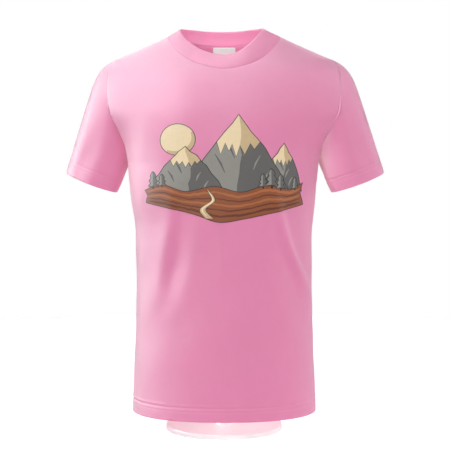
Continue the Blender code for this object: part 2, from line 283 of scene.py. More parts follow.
def through(points, at):
    """Smooth curve through (place, size) points that never overshoots them."""
    places, sizes = np.array(points).T
    slopes = np.diff(sizes) / np.diff(places)
    before, after = np.append(slopes[0], slopes), np.append(slopes, slopes[-1])
    turning = before * after <= 0
    tangents = np.where(turning, 0.0, 2 * before * after / np.where(turning, 1.0, before + after))
    index = np.clip(np.searchsorted(places, at) - 1, 0, len(slopes) - 1)
    span = places[index + 1] - places[index]
    t = np.clip((at - places[index]) / span, 0.0, 1.0)
    ease = t * t * (3 - 2 * t)
    leave = tangents[index] * span * t * (1 - t) ** 2
    arrive = tangents[index + 1] * span * t * t * (1 - t)
    return sizes[index] * (1 - ease) + sizes[index + 1] * ease + leave - arrive


def armhole_opening(height):
    middle = (ARMPIT + SHOULDER_TIP[1]) / 2
    level = (height - middle) / (SHOULDER_TIP[1] - middle)
    return ARMHOLE_DEPTH * np.sqrt(np.clip(1 - level * level, 0.0, 1.0))


def armhole_ease(height, side, facing, distance):
    """How far forward the cloth lies at a distance from the armhole: tucked in low down, eased above."""
    share = np.clip((height - ARMPIT) / (SHOULDER_TIP[1] - ARMPIT), 0.0, 1.0)
    creased = side == RIGHT and facing == FRONT
    tuck = (TUCK if creased else TUCK * 0.2) * np.sin(np.pi * np.clip(share / TUCK_TOP, 0.0, 1.0)) ** 1.5
    start, ease = EASE_CREASED if creased else EASE_PLAIN
    eased = ease * np.sin(np.pi * np.clip((share - start) / (1 - start), 0.0, 1.0))
    return eased * np.exp(-distance / EASE_SPREAD) - tuck * np.exp(-((distance / TUCK_SPREAD) ** 1.2))


def section_half_width(height, facing):
    cut_off = (armhole_opening(height) / through(DEPTHS[facing], height)) ** ROUNDNESS
    armhole = through(ARMHOLE_EDGE, height) / (1 - cut_off) ** (1 / ROUNDNESS)
    up = np.clip((height - SHOULDER_TIP[1]) / (NECK_POINT[1] - SHOULDER_TIP[1]), 0.0, 1.0)
    shoulder = SHOULDER_TIP[0] + (NECK_POINT[0] - SHOULDER_TIP[0]) * up ** (1 / SHOULDER_HOLLOW)
    above = np.where(height < SHOULDER_TIP[1], armhole, shoulder)
    return np.where(height <= ARMPIT, through(HALF_WIDTHS, height), above)


def fold_rise(x, height, facing):
    total = np.zeros_like(x)
    for line, width_left, width_right, rise in FOLDS[facing]:
        low, high = line[0][0], line[-1][0]
        share = np.clip((height - low) / (high - low), 0.0, 1.0)
        offset = x - through(line, height)
        width = np.where(offset < 0, width_left, width_right)
        total += rise * np.sin(np.pi * share) ** 1.3 * np.exp(-((offset / width) ** 2))
    return total


def ripples(across, up):
    """Faint unevenness that any hanging jersey has."""
    return sum(rise * np.sin(2 * math.pi * (waves_across * across + waves_up * up) + start)
               for rise, waves_across, waves_up, start in RIPPLES)


def hem_sink(height, around=0.0):
    """The hollows along a hem's stitches, less what the cloth above and below them stands out."""
    sunk = sum(sink * np.exp(-(((height - row) / HEM_STITCH_SPREAD) ** 2))
               for row, sink in zip(HEM_STITCHES, HEM_SINKS))
    ridge_height, ridge, spread = HEM_RIDGE
    pucker = 1.0 + 0.45 * np.sin(190.0 * around) + 0.30 * np.sin(433.0 * around + 1.0)
    sunk = sunk - ridge * pucker * np.exp(-(((height - ridge_height) / spread) ** 2))
    return sunk - HEM_FLARE / (1 + np.exp((height - HEM_STITCHES[1]) / 0.0012))


def body_surface(x, height, facing, proud=0.0):
    """Points on the outside of the hung cloth, or standing proud of it."""
    half_width = section_half_width(height, facing)
    depth = through(DEPTHS[facing], height)
    across = np.clip(np.abs(x) / half_width, 0.0, 1.0)
    along = (1 - across**ROUNDNESS) ** (1 / ROUNDNESS)
    out_x = np.sign(x) * across ** (ROUNDNESS - 1) / half_width
    out_y = facing * along ** (ROUNDNESS - 1) / depth
    length = np.hypot(out_x, out_y)
    to_seam = np.clip(through(ARMHOLE_EDGE, np.maximum(height, ARMPIT)) - np.abs(x), 0.0, None)
    loose = np.clip((RIPPLE_TOP - height) / 0.06, 0.0, 1.0) * np.clip(height / 0.05, 0.0, 1.0)
    loose = loose * np.where(height > ARMPIT - 0.03, 1 - np.exp(-((to_seam / RIPPLE_EDGE) ** 2)), 1.0)
    rise = proud + fold_rise(x, height, facing) - hem_sink(height, x) + loose * ripples(x, height)
    ease = np.where(x < 0, armhole_ease(height, RIGHT, facing, to_seam),
                    armhole_ease(height, LEFT, facing, to_seam))
    y = facing * (along * depth + ease)
    return np.stack((x + rise * out_x / length, y + rise * out_y / length, HEM_HEIGHT + height), axis=-1)


def neck_seam(angle, facing):
    """(x, height) of the neck seam, at an angle from the middle of the front or back."""
    x = NECK_POINT[0] * np.sin(angle)
    y = NECK_SEAM[facing] * np.cos(angle)
    low, high = np.full_like(x, 0.45), np.full_like(x, NECK_POINT[1])
    for _ in range(40):
        height = (low + high) / 2
        across = np.abs(x) / section_half_width(height, facing)
        along = np.abs(y) / through(DEPTHS[facing], height)
        inside = across**ROUNDNESS + along**ROUNDNESS < 1
        low, high = np.where(inside, height, low), np.where(inside, high, height)
    return x, low


def panel_places(facing, rows, share):
    """(x, height) of a panel's points, given the heights of its rows at the side and shares across."""
    corner_share = np.clip(share / NECK_CORNER, 0.0, 1.0)
    top_x, top_height = neck_seam(math.pi / 2 * corner_share, facing)
    along_shoulder = np.clip((share - NECK_CORNER) / (1 - NECK_CORNER), 0.0, 1.0)
    shoulder_x = NECK_POINT[0] + (SHOULDER_TIP[0] - NECK_POINT[0]) * along_shoulder
    on_shoulder = share > NECK_CORNER
    top_x = np.where(on_shoulder, shoulder_x, top_x)
    top_height = np.where(on_shoulder, shoulder_seam_height(shoulder_x), top_height)
    side = np.where(rows <= ARMPIT, through(HALF_WIDTHS, rows), through(ARMHOLE_EDGE, rows))
    towards_top = ((rows / SHOULDER_TIP[1]) ** 3)[:, None]
    level_x = np.sin(math.pi / 2 * share)[None, :]
    x = side[:, None] * (level_x + (top_x / SHOULDER_TIP[0] - level_x) * towards_top)
    return x, rows[:, None] + (top_height - SHOULDER_TIP[1]) * towards_top


def grid_normals(points):
    across, up = np.gradient(points, axis=1), np.gradient(points, axis=0)
    normals = np.cross(across, up)
    return normals / np.maximum(np.linalg.norm(normals, axis=-1, keepdims=True), 1e-12)


def lengths_along(points, axis):
    steps = np.linalg.norm(np.diff(points, axis=axis), axis=-1)
    start = np.zeros_like(np.take(steps, [0], axis=axis))
    return np.concatenate((start, np.cumsum(steps, axis=axis)), axis=axis)


def add_cloth(name, points, finish, thickness=CLOTH, ring=False):
    """A piece of cloth from a grid of points on its outside, with its knit map in metres."""
    rows, columns = points.shape[:2]
    faces = grid_faces(rows, columns, ring)
    piece = add_piece(name, points, faces, finish)
    closed = np.concatenate((points, points[:, :1]), axis=1) if ring else points
    across, up = lengths_along(closed, 1), lengths_along(closed, 0)
    if not ring:
        across = across - across[:, columns // 2][:, None]
    knit = np.stack((across, up), axis=-1)
    corners = []
    for row in range(rows - 1):
        for column in range(closed.shape[1] - 1):
            corners += [knit[row, column], knit[row, column + 1],
                        knit[row + 1, column + 1], knit[row + 1, column]]
    layer = piece.data.uv_layers.new(name="Knit")
    layer.data.foreach_set("uv", np.array(corners).ravel())
    solid = piece.modifiers.new("Thickness", "SOLIDIFY")
    solid.thickness = thickness
    solid.offset = -1.0
    return piece


def math_node(tree, operation, *values):
    return add_node(tree, "ShaderNodeMath", enumerate(values), operation=operation).outputs[0]


def knit_material(name, colour, wale, course):
    """Cotton knit: columns of small V-shaped stitches on the piece's knit map, and a soft fuzz."""
    made, tree, shader = new_finish(name, {
        "Roughness": 0.6, "Specular IOR Level": 0.5,
        "Sheen Weight": 0.35, "Sheen Roughness": 0.5, "Sheen Tint": (1.0, 0.93, 0.96, 1.0),
    })
    knit = add_node(tree, "ShaderNodeUVMap", uv_map="Knit")
    split = add_node(tree, "ShaderNodeSeparateXYZ", {"Vector": knit.outputs["UV"]})
    in_wale = math_node(tree, "PINGPONG", math_node(tree, "DIVIDE", split.outputs["X"], wale), 0.5)
    leg = math_node(tree, "SINE", math_node(tree, "MULTIPLY", in_wale, 2 * math.pi))
    slant = math_node(tree, "MULTIPLY", in_wale, 1.3)
    phase = math_node(tree, "ADD", math_node(tree, "DIVIDE", split.outputs["Y"], course), slant)
    loop = math_node(tree, "SINE", math_node(tree, "MULTIPLY", phase, 2 * math.pi))
    stitch = math_node(tree, "MULTIPLY", leg, math_node(tree, "MULTIPLY_ADD", loop, 0.22, 0.78))
    place = add_node(tree, "ShaderNodeTexCoord").outputs["Object"]
    fuzz = add_node(tree, "ShaderNodeTexNoise", {"Vector": place, "Scale": 420.0, "Detail": 3.0})
    relief = math_node(tree, "ADD", stitch, math_node(tree, "MULTIPLY", fuzz.outputs["Fac"], 0.6))
    add_bump(tree, shader, relief, 0.30, 0.0002)
    dye = add_node(tree, "ShaderNodeTexNoise", {"Vector": place, "Scale": 55.0, "Detail": 5.0})
    depth_of_dye = math_node(tree, "MULTIPLY_ADD", dye.outputs["Fac"], 0.6, 0.2)
    # Painted shade: the hollows between the stitches are coloured darker than the stitch tops.
    shadow = math_node(tree, "MULTIPLY", math_node(tree, "SUBTRACT", 1.0, stitch), 0.25)
    tone = add_node(tree, "ShaderNodeMix", {
        "Factor": math_node(tree, "ADD", depth_of_dye, shadow),
        "A": (*[min(part * 1.03, 1.0) for part in colour], 1.0),
        "B": (*[part * 0.93 for part in colour], 1.0),
    }, data_type="RGBA")
    tree.links.new(tone.outputs["Result"], shader.inputs["Base Color"])
    return made


PINK = (0.734, 0.201, 0.388)
jersey = knit_material("pink cotton jersey", PINK, wale=0.0009, course=0.0007)

hem_rows = np.concatenate((np.array([0.0, 0.0003, 0.0007]), np.arange(0.0015, 0.0265, 0.001)))
side_rows = np.linspace(hem_rows[-1], ARMPIT, 88)[1:]
armhole_rows = ARMPIT + (SHOULDER_TIP[1] - ARMPIT) * (1 - np.cos(np.linspace(0, math.pi, 52))) / 2
panel_rows = np.concatenate((hem_rows, side_rows, armhole_rows[1:]))
panel_share = np.linspace(0, 1, COLUMNS + 1)
hem_roll = np.zeros(len(panel_rows))
hem_roll[:3] = (0.0008, 0.0003, 0.00005)

panels, panel_pieces = {}, {}
for facing, panel_name in ((FRONT, "front"), (BACK, "back")):
    x, height = panel_places(facing, panel_rows, panel_share)
    x = np.concatenate((-x[:, :0:-1], x), axis=1)
    height = np.concatenate((height[:, :0:-1], height), axis=1)
    points = body_surface(x, height, facing, proud=-hem_roll[:, None])
    if facing == BACK:
        points = points[:, ::-1]
    normals = grid_normals(points)
    from_side = lengths_along(points, 1)
    from_side = np.minimum(from_side, from_side[:, -1:] - from_side)
    from_top = lengths_along(points, 0)
    from_top = from_top[-1:] - from_top
    side_sink = np.where(panel_rows <= ARMPIT, SIDE_SINK, ARMHOLE_SINK)[:, None]
    across = np.abs(np.linspace(-1, 1, points.shape[1]))
    top_sink = np.where(across > NECK_CORNER, SHOULDER_SINK, NECK_SINK)[None, :]
    seam = np.maximum(side_sink * np.exp(-((from_side / SEAM_SPREAD) ** 2)),
                      top_sink * np.exp(-((from_top / SEAM_SPREAD) ** 2)))
    points = points - normals * seam[..., None]
    panels[facing] = points
    piece = add_cloth(f"body_{panel_name}", points, jersey)
    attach(piece, "root")
    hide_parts(f"{panel_name}_panel")
    panel_pieces[facing] = piece

# The chest print: plastisol inks screened over one another onto the front, a dark outline first and then
# flat colours, of a plain mountain landscape. It is thin, a little rubbery, and bends with the cloth.
PRINT_BOTTOM = 0.276
PRINT_STRETCH = 1.13                # the flat print is wider than it looks on the round chest
PRINT_ASIDE = 0.0022
INK_LINE = 0.9
INK_THICKNESS = 0.00022
INK_STEP = 0.00004
INK_CELL = 3.0
INKS = {
    "line": (0.012, 0.010, 0.010), "grey": (0.270, 0.260, 0.232), "dark grey": (0.112, 0.108, 0.103),
    "light grey": (0.440, 0.430, 0.400), "cream": (0.860, 0.690, 0.430), "tan": (0.600, 0.440, 0.240),
    "brown": (0.270, 0.072, 0.020), "dark brown": (0.120, 0.026, 0.007), "ochre": (0.420, 0.130, 0.036),
}
print_random = np.random.default_rng(11)
print_cells = []


def grown(loop, by):
    """The loop moved outwards all round."""
    loop = np.asarray(loop, dtype=float)
    if np.sum(loop[:, 0] * np.roll(loop[:, 1], -1) - np.roll(loop[:, 0], -1) * loop[:, 1]) < 0:
        loop = loop[::-1]
    before = loop - np.roll(loop, 1, axis=0)
    after = np.roll(loop, -1, axis=0) - loop
    before = before / np.linalg.norm(before, axis=1, keepdims=True)
    after = after / np.linalg.norm(after, axis=1, keepdims=True)
    out = np.stack((before[:, 1] + after[:, 1], -before[:, 0] - after[:, 0]), axis=1)
    size = np.maximum(np.linalg.norm(out, axis=1, keepdims=True), 0.7)
    return loop + out / size * np.minimum(2 / size, 1.6) * by


def ink(loop, colour, layer):
    """Screen one flat area, given in millimetres from the print's middle and bottom.

    It is cut along one grid of triangles that all inks share, so a lower ink never shows through."""
    sheet = bmesh.new()
    sheet.faces.new([sheet.verts.new((x, y, 0.0)) for x, y in loop]).normal_update()
    bmesh.ops.triangulate(sheet, faces=sheet.faces[:])
    for across in ((1.0, 0.0, 0.0), (0.0, 1.0, 0.0), (1.0, 1.0, 0.0)):
        places = [vertex.co.dot(across) for vertex in sheet.verts]
        for line in np.arange(math.ceil(min(places) / INK_CELL) * INK_CELL, max(places), INK_CELL):
            on_line = (0.0, line, 0.0) if across[1] else (line, 0.0, 0.0)
            bmesh.ops.bisect_plane(
                sheet, geom=sheet.verts[:] + sheet.edges[:] + sheet.faces[:],
                dist=1e-4, plane_co=on_line, plane_no=across,
            )
    bmesh.ops.dissolve_degenerate(sheet, dist=1e-4, edges=sheet.edges[:])
    bmesh.ops.recalc_face_normals(sheet, faces=sheet.faces[:])
    sheet.verts.index_update()
    upright = sum(face.normal.z for face in sheet.faces) > 0
    faces = [[vertex.index for vertex in face.verts] for face in sheet.faces]
    print_cells.append((
        np.array([vertex.co[:2] for vertex in sheet.verts]),
        faces if upright else [face[::-1] for face in faces],
        INKS[colour], layer,
    ))
    sheet.free()


def outlined(loop, colour, layer, line=INK_LINE):
    ink(grown(loop, line), "line", layer)
    ink(loop, colour, layer + 0.5)


def rough(ends, steps, size):
    """A hand-drawn line between points: extra points part of the way, each moved a little."""
    ends = np.asarray(ends, dtype=float)
    drawn = []
    for start, end in zip(ends, ends[1:]):
        drawn.append(start)
        for step in range(1, steps):
            drawn.append(start + (end - start) * step / steps + print_random.uniform(-size, size, 2))
    drawn.append(ends[-1])
    return np.array(drawn)


def stroke(line, width, colour, layer):
    """A brush line that is thick in the middle and runs out at both ends."""
    line = np.asarray(line, dtype=float)
    along = np.gradient(line, axis=0)
    along = along / np.linalg.norm(along, axis=1, keepdims=True)
    side = np.stack((-along[:, 1], along[:, 0]), axis=1)
    share = np.linspace(0, 1, len(line))
    half = (width / 2 * np.sin(np.pi * (0.06 + 0.88 * share)) ** 0.7)[:, None]
    ink(np.concatenate((line + side * half, (line - side * half)[::-1])), colour, layer)


def curve(points, count):
    points = np.asarray(points, dtype=float)
    return np.stack((np.linspace(points[0, 0], points[-1, 0], count),
                     through(points, np.linspace(points[0, 0], points[-1, 0], count))), axis=1)


def snow_teeth(start, end, teeth, drop):
    """The points of a zigzag line between two points, long and short teeth by turns."""
    points = []
    for turn in range(1, 2 * teeth):
        fall = drop * (1.0 if turn % 4 == 1 else 0.62) if turn % 2 else -0.04 * drop
        middle = start + (end - start) * (turn + print_random.uniform(-0.15, 0.15)) / (2 * teeth)
        points.append(middle - (0.0, fall))
    return points


def mountain(peak, left, right, snow, layer, crest=0.0):
    """A peak with a lit face, a shaded face, their gullies, and snow down to a jagged line."""
    peak, left, right = (np.array(point, dtype=float) for point in (peak, left, right))
    left_ridge = rough((left, left + (peak - left) * 0.55 + (-2.0, 3.0), peak), 4, 1.5)
    right_ridge = rough((peak, peak + (right - peak) * 0.45 + (2.0, 3.5), right), 4, 1.5)
    whole = np.concatenate((left_ridge, right_ridge[1:]))
    foot = left + (right - left) * (0.50 + crest)
    spine = rough((peak, peak + (foot - peak) * 0.5 + (5.0, 0.0), foot), 4, 1.8)
    outlined(whole, "grey", layer)
    ink(np.concatenate((right_ridge, spine[:0:-1])), "dark grey", layer + 0.7)
    for share in (0.30, 0.48, 0.66, 0.82):
        at = peak + (left - peak) * share + (3.5, -1.0)
        down = np.array((0.42, -0.9)) * (peak[1] - left[1]) * 0.26
        stroke((at, at + down * 0.5 + (1.0, 0.0), at + down), 2.6, "dark grey", layer + 0.9)
        at = peak + (right - peak) * share + (-6.0, -3.0)
        down = np.array((-0.40, -0.9)) * (peak[1] - right[1]) * 0.20
        stroke((at, at + down * 0.5 - (1.0, 0.0), at + down), 2.2, "grey", layer + 0.9)
    snow_y = peak[1] - (peak[1] - left[1]) * snow
    snow_left = np.array((np.interp(snow_y, left_ridge[:, 1], left_ridge[:, 0]), snow_y))
    snow_right = np.array((np.interp(snow_y, right_ridge[::-1, 1], right_ridge[::-1, 0]), snow_y))
    spine_y = snow_y - (peak[1] - snow_y) * 0.12
    snow_middle = np.array((np.interp(spine_y, spine[::-1, 1], spine[::-1, 0]), spine_y))
    left_teeth = snow_teeth(snow_left, snow_middle, 3, (peak[1] - snow_y) * 0.42)
    right_teeth = snow_teeth(snow_middle, snow_right, 2, (peak[1] - snow_y) * 0.36)
    upper_left = [point for point in left_ridge[:-1] if point[1] > snow_y + 0.5]
    upper_right = [point for point in right_ridge[1:] if point[1] > snow_y + 0.5]
    upper_spine = [point for point in spine[1:] if point[1] > spine_y + 0.5]
    right_side = right_teeth + [snow_right] + upper_right[::-1] + [peak]
    left_side = [snow_left] + left_teeth + [snow_middle]
    outlined(left_side + right_side + upper_left[::-1], "cream", layer + 1.3, line=0.6)
    ink(upper_spine + [snow_middle] + right_side, "tan", layer + 2.2)


def fir(foot_x, foot_y, height, layer):
    """A small fir of three tiers."""
    tiers = []
    for share, width in ((0.0, 0.30), (0.30, 0.24), (0.58, 0.17)):
        tiers.append(((width * height, share * height + 0.16 * height),
                      (width * height * 0.45, (share + 0.26) * height + 0.10 * height)))
    right_side = [point for tier in tiers for point in tier]
    loop = right_side + [(0.0, height)] + [(-x, y) for x, y in right_side[::-1]]
    trunk = [(-0.05, 0.0), (0.05, 0.0), (0.05, 0.2), (-0.05, 0.2)]
    ink([(foot_x + x * height, foot_y + y * height) for x, y in trunk], "line", layer)
    loop = [(foot_x + x, foot_y + y) for x, y in loop]
    outlined(loop, "dark grey", layer, line=0.7)
    ink([(foot_x + x * 0.8 - 0.4, foot_y + y) for x, y in
         [(0.0, height * 0.95)] + [(-x, y) for x, y in right_side[::-1]] + [(0.0, height * 0.2)]],
        "grey", layer + 0.8)


sun = [(-58 + 21 * math.cos(a), 118 + 21 * math.sin(a)) for a in np.linspace(0, 2 * math.pi, 49)[:-1]]
outlined(sun, "cream", 0)
ink([(-58 + 21 * math.cos(a), 118 + 21 * math.sin(a)) for a in np.linspace(-2.2, 0.55, 20)]
    + [(-61 + 20 * math.cos(a), 121 + 19 * math.sin(a)) for a in np.linspace(0.35, -2.0, 20)], "tan", 1)
mountain((74, 112), (34, 44), (101, 46), 0.30, 2)
mountain((16, 152), (-52, 42), (84, 42), 0.34, 5, crest=-0.02)
mountain((-48, 108), (-98, 42), (2, 42), 0.28, 8, crest=0.03)

ground_top = curve((
    (-101, 47), (-76, 55), (-48, 46), (-14, 53), (18, 45), (52, 54), (82, 48), (103, 57),
), 52)
ground_low = curve(((-101, 30), (-72, 24), (-38, 15), (-6, 4), (24, 9), (60, 17), (103, 27)), 40)
ground = np.concatenate((ground_top, rough(((103, 57), (98, 44), (103, 27)), 3, 0.8)[1:-1], ground_low[::-1],
                         rough(((-101, 30), (-97, 38), (-101, 47)), 3, 0.8)[1:-1]))
outlined(ground, "brown", 11)
for share, colour, width in ((0.16, "ochre", 3.6), (0.34, "dark brown", 1.8), (0.50, "ochre", 3.0),
                             (0.66, "dark brown", 2.2), (0.84, "dark brown", 3.4)):
    for part, (start, end) in enumerate(((-97, -52), (-58, -6), (-16, 44), (32, 74), (64, 98))):
        x = np.linspace(start, end, 14)
        top = np.interp(x, ground_top[:, 0], ground_top[:, 1])
        low = np.interp(x, ground_low[:, 0], ground_low[:, 1])
        bend = np.interp(x, x, print_random.uniform(-0.7, 0.7, len(x)))
        line = np.stack((x, top + (low - top) * share + bend), axis=1)
        stroke(line, width, colour, 12.2 + 0.4 * (part % 2))
stream = curve(((0, 0), (0.35, 7), (0.7, -6), (1.0, 2)), 24)
stream_y = 49 - 40 * stream[:, 0]
stream_half = 1.2 + 4.2 * stream[:, 0]
for edge, colour, layer in ((0.0, "line", 13.4), (0.8, "tan", 13.8)):
    half = stream_half - edge
    ink(np.concatenate((np.stack((-22 + stream[:, 1] - half, stream_y), axis=1),
                        np.stack((-22 + stream[:, 1] + half, stream_y), axis=1)[::-1])), colour, layer)
stroke(np.stack((-22.5 + stream[:, 1], stream_y), axis=1)[2:-2], 2.4, "cream", 14.2)
for foot_x, height in ((-88, 24), (-76, 18), (46, 20), (57, 27), (69, 22), (90, 18)):
    foot_y = float(np.interp(foot_x, ground_top[:, 0], ground_top[:, 1])) - 3
    fir(foot_x, foot_y, height, 14.6)

chest_x = np.linspace(0.0, 0.13, 400)
chest = body_surface(chest_x, np.full_like(chest_x, 0.352), FRONT)
chest_round = np.concatenate(([0.0], np.cumsum(np.linalg.norm(np.diff(chest, axis=0), axis=-1))))


def chest_nodes(columns, rows, proud):
    """Points on the chest at whole steps of the print's grid."""
    across = columns * INK_CELL * PRINT_STRETCH / 1000
    x = np.sign(across) * np.interp(np.abs(across), chest_round, chest_x) + PRINT_ASIDE
    return body_surface(x, PRINT_BOTTOM + rows * INK_CELL / 1000, FRONT, proud=proud)


def on_chest(flat, proud):
    """The flat print's points laid on the chest, each within its triangle of the grid."""
    cell = np.floor(flat / INK_CELL)
    in_cell = flat / INK_CELL - cell
    upper = in_cell.sum(axis=1) > 1
    corner = cell + upper[:, None]
    step = np.where(upper, -1.0, 1.0)
    share = np.where(upper[:, None], 1 - in_cell, in_cell)
    start = chest_nodes(corner[:, 0], corner[:, 1], proud)
    along_x = chest_nodes(corner[:, 0] + step, corner[:, 1], proud) - start
    along_y = chest_nodes(corner[:, 0], corner[:, 1] + step, proud) - start
    return start + along_x * share[:, :1] + along_y * share[:, 1:]


print_points, print_faces, print_inks = [], [], []
for flat, faces, colour, layer in print_cells:
    first = len(print_points)
    print_points += on_chest(flat, INK_THICKNESS + layer * INK_STEP).tolist()
    for face in faces:
        print_faces.append([first + i for i in face])
        print_inks += [(*colour, 1.0)] * len(face)
plastisol, tree, ink_shader = new_finish("screen print ink", {"Roughness": 0.62, "Specular IOR Level": 0.3})
ink_colour = add_node(tree, "ShaderNodeAttribute", attribute_name="Ink").outputs["Color"]
ink_place = add_node(tree, "ShaderNodeTexCoord").outputs["Object"]
ink_cover = add_node(tree, "ShaderNodeTexNoise", {"Vector": ink_place, "Scale": 260.0, "Detail": 4.0})
ink_shade = two_tones(tree, ink_cover.outputs["Fac"], (0.86, 0.86, 0.86), (1.0, 1.0, 1.0))
ink_mix = add_node(tree, "ShaderNodeMix", {
    "Factor": 1.0, "A": ink_colour, "B": ink_shade,
}, data_type="RGBA", blend_type="MULTIPLY")
tree.links.new(ink_mix.outputs["Result"], ink_shader.inputs["Base Color"])
add_bump(tree, ink_shader, ink_cover.outputs["Fac"], 0.2, 0.0002)
chest_print = add_piece("chest_print", print_points, print_faces, plastisol)
outlines = bmesh.new()
outlines.from_mesh(chest_print.data)
for edge in outlines.edges:
    edge.smooth = not edge.is_boundary
outlines.to_mesh(chest_print.data)
outlines.free()
chest_print.data.color_attributes.new("Ink", "FLOAT_COLOR", "CORNER").data.foreach_set(
    "color", np.ravel(print_inks))
film = chest_print.modifiers.new("Film", "SOLIDIFY")
film.thickness = INK_THICKNESS
film.offset = -1.0
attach(chest_print, "root")

# The body's hem: the edge of the jersey turned up once inside and held by a twin-needle machine, which
# leaves two rows of straight stitches outside.
HEM_BAND = 0.020
THREAD_RADIUS = 0.00026
STITCH_PITCH = 0.0030
STITCH_LENGTH = 0.0025
STITCH_PROUD = THREAD_RADIUS * 0.35


def set_inputs(modifier, tree, **values):
    for item in tree.interface.items_tree:
        if item.item_type == "SOCKET" and item.in_out == "INPUT" and item.name in values:
            modifier[item.identifier] = values[item.name]


def settle(piece):
    """Turn a piece's evaluated Geometry Nodes into its plain mesh."""
    evaluated = piece.evaluated_get(bpy.context.evaluated_depsgraph_get())
    mesh = bpy.data.meshes.new_from_object(evaluated)
    piece.modifiers.clear()
    piece.data = mesh
    mesh.name = piece.name
    mesh.shade_smooth()


def new_tree(name, takes):
    """A Geometry Nodes tree, with the outputs that carry its named inputs."""
    tree = bpy.data.node_groups.new(name, "GeometryNodeTree")
    for socket, kind in takes.items():
        tree.interface.new_socket(socket, in_out="INPUT", socket_type=f"NodeSocket{kind}")
    tree.interface.new_socket("Made", in_out="OUTPUT", socket_type="NodeSocketGeometry")
    return tree, tree.nodes.new("NodeGroupInput").outputs


def end_tree(tree, geometry, finish):
    real = add_node(tree, "GeometryNodeRealizeInstances", {"Geometry": geometry})
    dyed = add_node(tree, "GeometryNodeSetMaterial", {
        "Geometry": real.outputs["Geometry"], "Material": finish,
    })
    add_node(tree, "NodeGroupOutput", {"Made": dyed.outputs["Geometry"]})


def stitching_tree():
    """Small tapered stitches laid end to end along a path, sunk a little into the cloth under them."""
    tree, given = new_tree("row of stitches", {
        "Path": "Geometry", "Pitch": "Float", "Length": "Float", "Radius": "Float", "Thread": "Material",
    })
    path = add_node(tree, "GeometryNodeMeshToCurve", {"Mesh": given["Path"]})
    spaced = add_node(tree, "GeometryNodeResampleCurve", {
        "Curve": path.outputs["Curve"], "Length": given["Pitch"],
    }, mode="LENGTH")
    stitch = add_node(tree, "GeometryNodeMeshUVSphere", {"Segments": 6, "Rings": 5})
    lying = add_node(tree, "GeometryNodeTransform", {
        "Geometry": stitch.outputs["Mesh"], "Rotation": (0.0, math.pi / 2, 0.0),
    })
    size = add_node(tree, "ShaderNodeCombineXYZ", {
        "X": math_node(tree, "MULTIPLY", given["Length"], 0.5), "Y": given["Radius"], "Z": given["Radius"],
    })
    tangent = add_node(tree, "GeometryNodeInputTangent").outputs["Tangent"]
    along = add_node(tree, "FunctionNodeAlignRotationToVector", {"Vector": tangent}, axis="X")
    outward = add_node(tree, "GeometryNodeInputNamedAttribute", {"Name": "outward"},
                       data_type="FLOAT_VECTOR")
    facing_out = add_node(tree, "FunctionNodeAlignRotationToVector", {
        "Rotation": along.outputs["Rotation"], "Vector": outward.outputs["Attribute"],
    }, axis="Z", pivot_axis="X")
    laid = add_node(tree, "GeometryNodeInstanceOnPoints", {
        "Points": spaced.outputs["Curve"], "Instance": lying.outputs["Geometry"],
        "Rotation": facing_out.outputs["Rotation"], "Scale": size.outputs["Vector"],
    })
    end_tree(tree, laid.outputs["Instances"], given["Thread"])
    return tree


row_of_stitches = stitching_tree()


def sew(name, paths, thread, pitch=STITCH_PITCH, length=STITCH_LENGTH, radius=THREAD_RADIUS):
    """Stitches along paths, each given as (points, outward directions, whether it closes)."""
    points, outwards, edges = [], [], []
    for path, outward, closes in paths:
        first = len(points)
        points += path.tolist()
        outwards += outward.tolist()
        edges += [(first + i, first + i + 1) for i in range(len(path) - 1)]
        if closes:
            edges.append((len(points) - 1, first))
    mesh = bpy.data.meshes.new(name)
    mesh.from_pydata(points, edges, [])
    mesh.attributes.new("outward", "FLOAT_VECTOR", "POINT").data.foreach_set("vector", np.ravel(outwards))
    piece = bpy.data.objects.new(name, mesh)
    bpy.context.collection.objects.link(piece)
    modifier = piece.modifiers.new("Stitches", "NODES")
    modifier.node_group = row_of_stitches
    set_inputs(modifier, row_of_stitches, Pitch=pitch, Length=length, Radius=radius, Thread=thread)
    settle(piece)
    return piece


def round_body(heights, proud, steps=240):
    """Rows of points all round the body, at heights above the hem."""
    angle = np.linspace(0, 2 * math.pi, steps, endpoint=False)
    height = np.broadcast_to(np.asarray(heights)[:, None], (len(heights), steps))
    proud = np.broadcast_to(np.asarray(proud).reshape(-1, 1), height.shape)
    front = body_surface(section_half_width(height, FRONT) * np.sin(angle), height, FRONT, proud)
    back = body_surface(section_half_width(height, BACK) * np.sin(angle), height, BACK, proud)
    return np.where((np.cos(angle) > 0)[None, :, None], front, back)


def outward_of(row_below, row_above):
    """Outward directions along the ring between two rings of points."""
    around = np.roll(row_above, -1, axis=0) - np.roll(row_above, 1, axis=0)
    normal = np.cross(around, row_above - row_below)
    return normal / np.linalg.norm(normal, axis=-1, keepdims=True)


thread, tree, thread_shader = new_finish("pink sewing thread", {"Roughness": 0.6, "Sheen Weight": 0.2})
thread_place = add_node(tree, "ShaderNodeTexCoord").outputs["Object"]
ply = add_node(tree, "ShaderNodeTexNoise", {"Vector": thread_place, "Scale": 700.0})
ply_colour = two_tones(tree, ply.outputs["Fac"], (0.70, 0.21, 0.37), (0.84, 0.31, 0.48))
tree.links.new(ply_colour, thread_shader.inputs["Base Color"])

turn_up_rows = np.concatenate(((0.0, 0.0003, 0.0007), np.linspace(0.0015, HEM_BAND - 0.0004, 19)))
turn_up_inset = np.full(len(turn_up_rows), CLOTH + 0.00005)
turn_up_inset[:3] = (0.0001, 0.0005, 0.0008)
hem_points = round_body(turn_up_rows, -turn_up_inset)
hem_piece = add_cloth("hem_turned_up", hem_points, jersey, ring=True)
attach(hem_piece, "root")
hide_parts("hem")
hem_rings = [round_body((row - 0.0005, row), STITCH_PROUD, 480) for row in HEM_STITCHES]
hem_stitches = sew("hem_stitches", [(ring[1], outward_of(*ring), True) for ring in hem_rings], thread)
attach(hem_stitches, "root")

